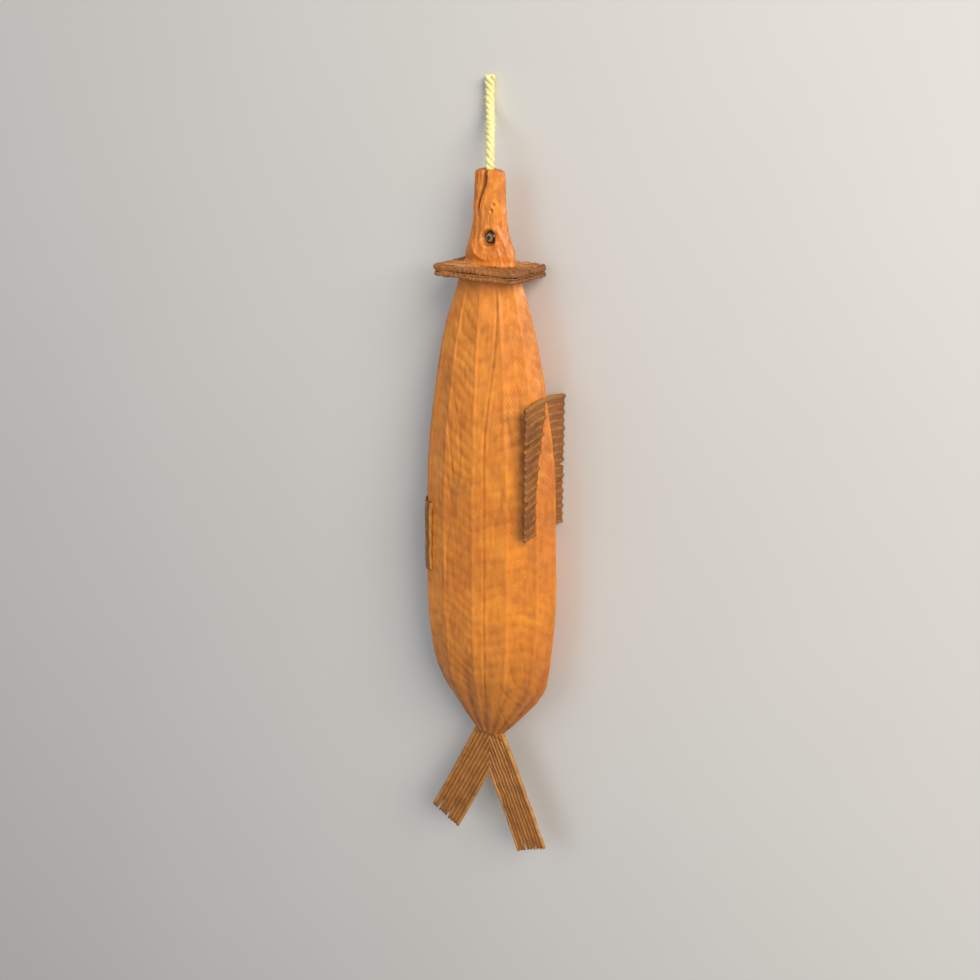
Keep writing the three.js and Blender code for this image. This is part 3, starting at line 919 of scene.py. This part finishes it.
# %% [markdown]
# ## The finish of fins, rays and gill covers
#
# Thin skin dries darker than flesh, because there is nothing under it to keep it pale. It is a dull
# brown with fine streaks that run out along the rays. The rays themselves are bone with a trace of
# fat in it, so they are lighter and a little glossier. The back fin's skin and rays are darker copies,
# painted shade for a fin that faces the key light. The gill covers are bone plates under brown skin,
# with a pinkish tint of painted fill light on the head's side and painted shade towards the back.

# %% Streaked brown materials
# The streaks read values kept on each point, in millimetres: how far across the fin and how far out
# along its rays. Real streaks are 0.2 mm wide and are drawn at 0.7 mm, so that they show. Fin rays
# are jointed like bamboo every 2 mm or so, drawn at 3 mm.
FIN_VALUES = ("across", "out", "layer")
RAY_JOINT = 3.0


def streaked_material(name, roughness, pale, deep, layer_colour, streak_depth=0.0007, jointed=0.0, **constants):
    """Dried skin or bone with streaks that run out along the rays."""
    material, tree, shader, place, across, out, layer = new_material(
        name, FIN_VALUES, roughness, **constants
    )
    spread = add(tree, "CombineXYZ", {"X": across, "Y": out, "Z": layer})
    drawn = add(tree, "Mapping", {"Vector": spread, "Scale": (2.0, 0.13, 1)})
    streaks = add(tree, "TexNoise", {"Vector": drawn, "Scale": 1.0, "Detail": 4.0})
    patchy = {"Vector": place, "Scale": 70.0, "Detail": 4.0, "Roughness": 0.6}
    patches = add(tree, "TexNoise", patchy)
    grain = add(tree, "TexNoise", {"Vector": place, "Scale": 1100.0, "Detail": 2.0})
    streak_share = add(tree, "MapRange", {"Value": streaks, "From Min": 0.36, "From Max": 0.64})
    counted = {0: out, 1: 1 / RAY_JOINT, 2: patches}
    joint_count = add(tree, "Math", counted, operation="MULTIPLY_ADD")
    from_joint = add(tree, "Math", {0: joint_count, 1: 0.5}, operation="PINGPONG")
    nicked = {"Value": from_joint, "From Max": 0.16, "To Min": jointed, "To Max": 0.0}
    joint = add(tree, "MapRange", nicked)
    patched = {"Value": patches, "From Min": 0.45, "From Max": 0.72, "To Max": 0.7}
    patch = add(tree, "MapRange", patched)
    marks = add(tree, "Math", {0: patch, 1: joint}, operation="MAXIMUM")
    gloss = {
        "Value": patches, "From Min": 0.35, "From Max": 0.65,
        "To Min": roughness - 0.08, "To Max": roughness + 0.10,
    }
    bumps = ((streaks, streak_depth, 0.7, False), (joint, 0.0005, 0.6, True), (grain, 0.0003, 0.5, False))
    colour = dress(tree, shader, deep, [(streak_share, 1.0, pale), (marks, 1.0, layer_colour)], bumps, gloss)
    print(f"{name}: {len(tree.nodes)} nodes")
    return material, tree, shader, place, colour


# %% Fin skin, fin bone and gill cover
THIN_SKIN = {"subsurface_weight": 0.08, "subsurface_scale": 0.002}
BONE_IOR = 1.54
BONE = {"jointed": 0.25, "ior": BONE_IOR}
# Fin skin: dull, thin enough for a little light to pass under it, and darker on the back's fin as painted
# shade.
fin_web, *_ = streaked_material("dried_fin_skin", 0.55, "#A9682A", "#85501C", "#643A14", **THIN_SKIN)
shaded_back_web, *_ = streaked_material(
    "back_fin_skin_painted_shade", 0.55, "#9C5F22", "#7C4716", "#5A3210", **THIN_SKIN
)
# Fin rays: bone with a trace of fat in it, jointed, and glossier than the skin.
ray_bone, *_ = streaked_material("fin_ray_bone", 0.48, "#CC8E3E", "#A86C2A", "#74451B", **BONE)
# The back fin's rays are a darker copy as well, painted shade for a fin that faces the key light.
shaded_back_bone, *_ = streaked_material("back_fin_ray_bone_painted_shade", 0.48, "#AC7430", "#8C5721", "#613917", **BONE)
# Gill cover: bone under brown skin, with a pinkish tint of painted fill light on the head's side,
# and painted shade towards the back.
gill_bone, tree, shader, place, colour = streaked_material(
    "dried_gill_cover_bone", 0.52, "#B8762E", "#985C22", "#704218", streak_depth=0.0004, ior=BONE_IOR
)
# A pinkish tint on the face towards the head: painted fill light.
painted_fill_face = add(tree, "Attribute", attribute_name="painted_fill_face").outputs["Fac"]
# Darker towards the back: painted shade.
to_back = add(tree, "SeparateXYZ", {"Vector": place}).outputs["X"]
painted_back_shade = add(tree, "MapRange", {"Value": to_back, "From Min": 0.020, "From Max": 0.033})
dress(tree, shader, colour, [(painted_fill_face, 0.55, "#985E42"), (painted_back_shade, 0.6, "#5E3413")])

# %% A flat pleated web
WEB_STEPS = 10  # points from one ray to the next
RIM_SHARE = 0.12  # how thick a web is at its rim, as a share of its full thickness


def fold_of(place_in_rays, height):
    """A pleated web goes up to one ray and down to the next."""
    return height * (2 * np.abs(place_in_rays % 2 - 1) - 1)


def warp(flat, seed):
    """How far a dried fin has bent out of its plane."""
    return 0.22 * waves(flat, 20, seed) + 0.06 * waves(flat, 6, seed + 1)


def fullness(inward, margin):
    """How full a web's thickness is, from its rim inwards."""
    t = np.clip(inward / margin, 0, 1)
    return RIM_SHARE + (1 - RIM_SHARE) * np.sqrt(1 - (1 - t) ** 2)


def pleated_web(rays, width, length, half_thick, pleat, seed, tears, steps):
    """Points and faces of a flat web. Tears are given as the ray they follow and their depth."""
    draw = np.random.default_rng(seed)
    place_in_rays = np.linspace(0, rays - 1, (rays - 1) * WEB_STEPS + 1)[None, :]
    share_out = (1 - np.cos(np.linspace(0.25, math.pi, steps))) / 2
    share_out = ((share_out - share_out[0]) / (share_out[-1] - share_out[0]))[:, None]
    between = 0.5 - 0.5 * np.cos(TAU * place_in_rays)
    scallop = 0.35 + draw.uniform(0, 0.6, rays)[np.floor(place_in_rays).astype(int)]
    reach = 1 - between * scallop / length
    for ray, tear in tears:
        reach = reach - tear / length * np.clip(1 - np.abs(place_in_rays - ray - 0.5) / 0.3, 0, 1)
    out = share_out * reach * length
    across = (place_in_rays / (rays - 1) - 0.5) * width + 0 * share_out
    through = fold_of(place_in_rays, pleat) + warp(np.stack([across, out], -1), seed)
    to_side = np.minimum(place_in_rays, rays - 1 - place_in_rays) * width / (rays - 1)
    thick = half_thick * fullness(to_side, 1.2) * fullness((1 - share_out) * length, 2.0)
    return two_faced(*[
        np.stack([across, out, through + face * thick, across, out, 0 * out], -1) for face in (1, -1)
    ])


# %% Flat rays, and how both are laid on the fish


def grown_rays(rays, width, length, root_radius, tip_radius, pleat, seed, shortest, steps):
    """Flat rays from the tree, set on the pleats: points with their values, and faces."""
    holder = bpy.data.objects.new("rays", bpy.data.meshes.new("rays"))
    scene.collection.objects.link(holder)
    mesh = grown(holder, ray_tree, ray_inputs, {
        "Rays": rays,
        "Steps": steps,
        "Width": width * MM,
        "Length": length * MM,
        "Shortest": shortest,
        "Root Radius": root_radius * MM,
        "Tip Radius": tip_radius * MM,
        "Seed": seed,
        "Material": ray_bone,
    })
    across, out, through = (np.array([v.co for v in mesh.vertices]) / MM).T
    faces = [list(p.vertices) for p in mesh.polygons]
    bpy.data.objects.remove(holder)
    bpy.data.meshes.remove(mesh)
    nearest = np.round((across / width + 0.5) * (rays - 1))
    flat = np.stack([(nearest / (rays - 1) - 0.5) * width, out], -1)
    bent = through + (fold_of(nearest, pleat) + warp(flat, seed))
    return np.stack([across, out, bent, across, out, 0 * out], -1), faces


def laid(shape, place):
    """Moves flat points to where a fin holds them, and keeps the values its material reads."""
    points, faces = shape
    return np.concatenate([place(points[:, 0], points[:, 1], points[:, 2]), points[:, 3:]], -1), faces


def fan(place, seed, tears, rays, width, length, half_thick, pleat, radii, shortest, over=0, steps=(48, 26)):
    """A web and its rays, both laid on the fish. The longest ray reaches over past the web."""
    web = pleated_web(rays, width, length, half_thick, pleat, seed, tears, steps[0])
    bones = grown_rays(rays, width, length + over, *radii, pleat, seed, shortest, steps[1])
    return laid(web, place), laid(bones, place)


def cut_on_middle(piece, side, overlap=0.15):
    """Cuts off what lies past the fish's middle plane, and closes the cut with flat faces."""
    shape = bmesh.new()
    shape.from_mesh(piece.data)
    everything = shape.verts[:] + shape.edges[:] + shape.faces[:]
    plane = {"plane_co": (-side * overlap * MM, 0, 0), "plane_no": (-side, 0, 0)}
    bmesh.ops.bisect_plane(shape, geom=everything, clear_outer=True, **plane)
    open_edges = [edge for edge in shape.edges if edge.is_boundary]
    for edge in open_edges:
        edge.smooth = False
    for face in bmesh.ops.holes_fill(shape, edges=open_edges, sides=0)["faces"]:
        face.smooth = False
    bmesh.ops.triangulate(shape, faces=[face for face in shape.faces if len(face.verts) > 4])
    bmesh.ops.dissolve_degenerate(shape, dist=1e-6, edges=shape.edges)
    bmesh.ops.recalc_face_normals(shape, faces=shape.faces)
    shape.to_mesh(piece.data)
    shape.free()


def fin_piece(name, web_shapes, ray_shapes, side=0, finish=(fin_web, ray_bone)):
    """A fin's web and its rays, as two pieces that stand for the fin's solid together."""
    web = mesh_piece(name + "_web", merged(web_shapes), finish[0], FIN_VALUES)
    rays = mesh_piece(name + "_rays", merged(ray_shapes), finish[1], FIN_VALUES)
    for piece in (web, rays):
        if side:
            cut_on_middle(piece, side)
        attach(piece, "root")
        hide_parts(name)


# %% [markdown]
# ## The back fin
#
# While the fish hung, its long back fin fell open to both sides of the back's edge and dried like
# that: two stiff halves in one plane across the back, with the back's own ridge pushed up between
# them towards the tail. Each half is a pleated web with its rays running out from the back.

# %% Back fin
BACK_FIN_X = 48.4
BACK_FIN_HEAD = 114.7
BACK_FIN_TAIL = 15.7
BACK_FIN_REACH = 26.3
BACK_FIN_SWEEP = 2.8
BACK_FIN = {  # in millimetres; the radii are a ray's at root and tip, and shortest is a share
    "rays": 17, "width": BACK_FIN_HEAD - BACK_FIN_TAIL, "length": BACK_FIN_REACH, "half_thick": 1.35,
    "pleat": 0.25, "radii": (2.3, 1.5), "over": 0.2, "shortest": 0.98,
}
BACK_FIN_HALVES = (  # side, seed, and each tear's ray and depth
    (1, 31, ((4, 5.0), (11, 7.5))),
    (-1, 32, ((7, 6.0),)),
)


def back_fin_place(side):
    """Lays a flat half across the back's edge: side 1 is towards the shown flank."""

    def place(across, out, through):
        swept = BACK_FIN_SWEEP * (out / BACK_FIN_REACH) ** 2
        y = (BACK_FIN_HEAD + BACK_FIN_TAIL) / 2 + across - swept
        return np.stack([BACK_FIN_X + through, y, AXIS_Z + side * out], -1)

    return place


halves = [fan(back_fin_place(side), seed, tears, **BACK_FIN) for side, seed, tears in BACK_FIN_HALVES]
webs, rays = zip(*halves)
# The back fin takes the darker copies of the fin materials: painted shade, as it faces the key light.
fin_piece("back_fin", webs, rays, finish=(shaded_back_web, shaded_back_bone))

# %% [markdown]
# ## The belly fin
#
# The small belly fin was folded round the belly's edge when the fish dried and it stuck there, so it
# follows the flesh closely and only its edges lift. Its rays run tailwards.

# %% Belly fin
BELLY_FIN_HEAD = 20.2
BELLY_FIN_SPREAD = math.radians(39)
BELLY_FIN_WIDTH = 52.0  # round the belly's edge
BELLY_FIN = {
    "rays": 12, "width": BELLY_FIN_WIDTH, "length": 58.1, "half_thick": 0.8, "pleat": 0.1,
    "radii": (1.5, 0.9), "shortest": 0.94, "steps": (48, 40),
}
BELLY_FIN_TEARS = ((3, 6.0), (8, 9.0))
BELLY_FIN_SEED = 41


def belly_fin_place(across, out, through):
    """Wraps a flat fin round the belly's edge."""
    share = across / (BELLY_FIN_WIDTH / 2)
    ends = 0.4 + 0.6 * ease(0, 8, out)
    proud = 0.9 + 0.9 * share ** 2 * ends + through
    return flesh_point(BELLY_FIN_HEAD - out, math.pi + share * BELLY_FIN_SPREAD, proud)


web, bones = fan(belly_fin_place, BELLY_FIN_SEED, BELLY_FIN_TEARS, **BELLY_FIN)
fin_piece("belly_fin", [web], [bones])

# %% [markdown]
# ## The forked tail
#
# The tail fin has split down its middle into two stiff lobes. Each is a narrow pleated web with its
# rays packed side by side, a stout ray along its outer edge, and worn, uneven tips. The roots of both
# lobes go into the end of the flesh, and the lobes meet on the fish's middle plane.

# %% Tail lobes
FORK_Y = -178.9
LOBE_REACH = 100.4
LOBE_ROOT = 20.0  # this much of a lobe is inside the flesh
LOBE_WIDTH = 26.6
LOBE_ANGLE = math.radians(26)
LOBE_LIFT = 3.5
LOBE_FLARE = 0.03
LOBE_LENGTH = LOBE_ROOT + LOBE_REACH
LOBE = {
    "rays": 9, "width": LOBE_WIDTH, "length": LOBE_LENGTH, "half_thick": 0.72, "pleat": 0.15,
    "radii": (1.24, 0.86), "over": 0.4, "shortest": 0.975, "steps": (70, 60),
}
EDGE_RAYS = {"rays": 2, "root_radius": 2.0, "tip_radius": 1.35, "pleat": 0.0, "shortest": 0.985, "steps": 60}
LOBES = (  # side, solid, seed, and each tear's ray and depth
    (1, "tail_lobe_back", 51, ((2, 12.0), (5, 7.0))),
    (-1, "tail_lobe_belly", 52, ((3, 8.0), (6, 14.0))),
)


def lobe_place(side):
    """Lays a flat lobe out from the fork: side 1 is the back's side."""

    def place(across, out, through):
        beyond = out - LOBE_ROOT
        lift = LOBE_LIFT * np.clip(beyond / LOBE_REACH, 0, None) ** 2
        local_x = side * across * (1 + LOBE_FLARE * ease(0.55, 1.0, beyond / LOBE_REACH))
        x = local_x * math.cos(LOBE_ANGLE) + side * beyond * math.sin(LOBE_ANGLE)
        y = side * local_x * math.sin(LOBE_ANGLE) - beyond * math.cos(LOBE_ANGLE) + FORK_Y
        return np.stack([x, y, AXIS_Z + through + lift], -1)

    return place


for side, name, seed, tears in LOBES:
    place = lobe_place(side)
    web, bones = fan(place, seed, tears, **LOBE)
    edge_rays = grown_rays(width=LOBE_WIDTH, length=LOBE_LENGTH, seed=seed + 2, **EDGE_RAYS)
    fin_piece(name, [web], [bones, laid(edge_rays, place)], side)

# %% [markdown]
# ## The gill covers
#
# As the head dries, the gill covers lift, and here they and the breast fins behind them have set
# standing straight out all round, as one stiff brown ruff. It is layered: a bony plate on the head's
# side, the pleated gill skin in the middle, and the breast fins' rays on the trunk's side. Each layer
# is a closed ring of rows, from inside the flesh out to the rim and back.

# %% The ruff's outline
RUFF_Y = 203.9
RUFF_HALF_DEPTH = 34.8
RUFF_HALF_THICK = 22.3
RUFF_SQUARENESS = 12
RUFF_ROOT = (19.5, 8.0, 2)  # half depth, half thickness and squareness, inside the flesh
RUFF_COLUMNS = 432
RUFF_STEPS = 22
RUFF_PARTING = 5.0  # the left and right covers part at the back and at the belly
RIM_TURNS = 7


def ruff_reach(heading_round, half_depth, half_thick, squareness):
    """How far a rounded rectangle reaches in each direction round the fish."""
    flat = np.abs(np.cos(heading_round) / half_depth) ** squareness
    return (flat + np.abs(np.sin(heading_round) / half_thick) ** squareness) ** (-1 / squareness)


def ruff_layer(y, half_thick, size, rays, relief, wave, seed, layer):
    """One ring of the ruff: its rows go out on one face, over the rim and back on the other."""
    share_out = np.linspace(0, 1, RUFF_STEPS) ** 0.8
    rim_turn = np.linspace(-math.pi / 2, math.pi / 2, RIM_TURNS)[1:-1]
    shares = np.concatenate([share_out, 0 * rim_turn + 1, share_out[::-1]])[:, None]
    faces = np.concatenate([0 * share_out - 1, np.sin(rim_turn), 0 * share_out + 1])[:, None]
    bulge = np.concatenate([0 * share_out, np.cos(rim_turn), 0 * share_out])[:, None]
    heading_round = (TAU * np.arange(RUFF_COLUMNS) / RUFF_COLUMNS)[None, :]
    inner = ruff_reach(heading_round, *RUFF_ROOT)
    outer = ruff_reach(heading_round, RUFF_HALF_DEPTH * size, RUFF_HALF_THICK * size, RUFF_SQUARENESS)
    ray = np.cos(rays * heading_round + 0.5 * np.sin(3 * heading_round + seed))
    circle = np.stack([np.cos(heading_round), np.sin(heading_round)], -1)[0] * 30
    ragged = 0.28 * waves(circle, 14, seed) + 0.12 * waves(circle, 5, seed + 1)
    parting = RUFF_PARTING * bell(np.sin(heading_round) * RUFF_HALF_DEPTH - 0.9, 1.3)
    rim = outer - inner - half_thick * 0.55 + 0.18 * ray + ragged - parting
    reach = inner + rim * shares + bulge * half_thick * 0.6
    x = reach * np.cos(heading_round)
    z = AXIS_Z + reach * np.sin(heading_round)
    flat = np.stack([x, z], -1)
    sway = wave * waves(flat, 30, seed + 2) * shares + 0.22 * waves(flat, 6, seed + 3)
    ray_height = relief * ray * (0.25 + 0.75 * shares) * (1 - 0.8 * shares ** 6)
    place_y = y + sway + faces * (half_thick + ray_height) * (1 - 0.12 * shares)
    across = heading_round * 28 + 0 * shares
    # The last value marks the face towards the head, where the gill cover's finish paints a pinkish fill
    # light.
    painted_fill_face = (faces > 0.5) * 1.0 + 0 * across
    return np.stack([x, place_y, z, across, reach, layer + 0 * reach, painted_fill_face], -1)


def ring_shape(rows):
    """Points and faces of rows that close on themselves both ways."""
    return rows.reshape(-1, rows.shape[-1]), grid_faces(*rows.shape[:2], rows_close=True)


# %% Three layers
RUFF_LAYERS = (  # middle y, half thickness, size, rays, relief, waviness, seed, number
    (RUFF_Y + 2.10, 2.15, 1.035, 44, 0.20, 0.16, 61, 1.0),
    (RUFF_Y - 0.70, 0.90, 1.000, 58, 0.16, 0.20, 65, 2.0),
    (RUFF_Y - 2.75, 1.50, 1.025, 50, 0.24, 0.24, 69, 3.0),
)
ruff_shape = merged([ring_shape(ruff_layer(*layer)) for layer in RUFF_LAYERS])
ruff = mesh_piece("gill_ruff", ruff_shape, gill_bone, (*FIN_VALUES, "painted_fill_face"))
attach(ruff, "root")
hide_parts("gill_collar")

# %% Gill rays
# The thin bones that hold the gill skin open lie on both faces of the ruff like spokes. The flat row
# is as wide as the whole turn round the fish, and as long as the way from the flesh to the rim.
GILL_RAYS = 40
SPOKE_ROW = 200
SPOKE_LENGTH = 20
SPOKES = {
    "rays": GILL_RAYS, "width": SPOKE_ROW * (GILL_RAYS - 1) / GILL_RAYS, "length": SPOKE_LENGTH,
    "root_radius": 0.75, "tip_radius": 0.45, "pleat": 0.0, "shortest": 0.86, "steps": 14,
}
SPOKE_ROOT = (22.0, 8.6, 2)  # as for the ruff
SPOKE_MARGIN = 0.2  # kept from the rim
SPOKE_FACES = ((RUFF_Y + 4.1, 71), (RUFF_Y - 3.9, 72))  # where each face is, and the seed


def gill_ray_place(face_y):
    """Bends a flat row of rays into spokes on one face of the ruff."""

    def place(across, out, through):
        heading_round = across / SPOKE_ROW * TAU
        sides = (RUFF_HALF_DEPTH - SPOKE_MARGIN, RUFF_HALF_THICK - SPOKE_MARGIN)
        outer = ruff_reach(heading_round, *sides, RUFF_SQUARENESS)
        inner = ruff_reach(heading_round, *SPOKE_ROOT)
        reach = inner + (outer - inner) * out / SPOKE_LENGTH
        x, z = reach * np.cos(heading_round), reach * np.sin(heading_round)
        return np.stack([x, face_y + through, AXIS_Z + z], -1)

    return place


spokes = [laid(grown_rays(seed=seed, **SPOKES), gill_ray_place(face_y)) for face_y, seed in SPOKE_FACES]
gill_rays = mesh_piece("gill_rays", merged(spokes), ray_bone, FIN_VALUES)
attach(gill_rays, "root")
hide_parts("gill_collar")
